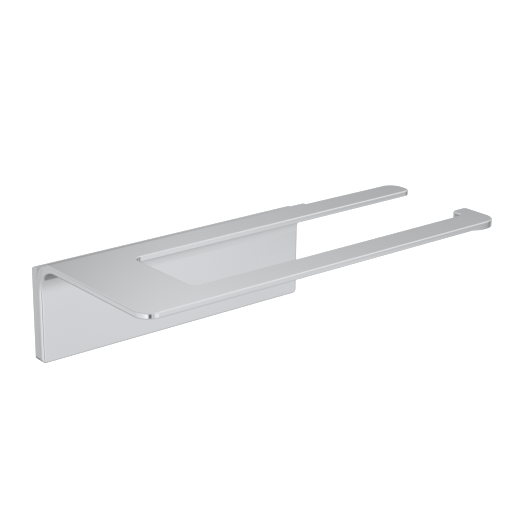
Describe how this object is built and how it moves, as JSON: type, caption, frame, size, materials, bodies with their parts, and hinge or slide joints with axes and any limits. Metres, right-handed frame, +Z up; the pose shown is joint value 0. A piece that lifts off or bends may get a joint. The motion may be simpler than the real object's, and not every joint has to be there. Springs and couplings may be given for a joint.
{
  "type": "towel rack",
  "caption": "Wall-mounted chrome towel shelf: a thick bent plate whose shelf is cut into two parallel arms, the outer one ending in a hook.",
  "frame": {"origin": "centre of the carrier frame's rear rim, on the wall's surface", "axes": "+X to the right along the wall and the arms, +Y into the wall, +Z up"},
  "size_m": [0.4, 0.1676, 0.0946],
  "materials": {
    "chrome_plate": "polished chrome plating on brass",
    "chrome_frame": "chrome plated zinc casting, satin inside the pocket",
    "bracket_steel": "brushed stainless steel",
    "screw_steel": "zinc plated steel"
  },
  "bodies": {
    "root": {"towel_plate": "chrome_plate", "back_frame": "chrome_frame", "wall_bracket_left": "bracket_steel", "wall_bracket_right": "bracket_steel", "grub_screw_left": "screw_steel", "grub_screw_right": "screw_steel", "frame_screw_1": "screw_steel", "frame_screw_2": "screw_steel", "frame_screw_3": "screw_steel", "frame_screw_4": "screw_steel", "frame_screw_5": "screw_steel", "frame_screw_6": "screw_steel"}
  },
  "joints": []
}
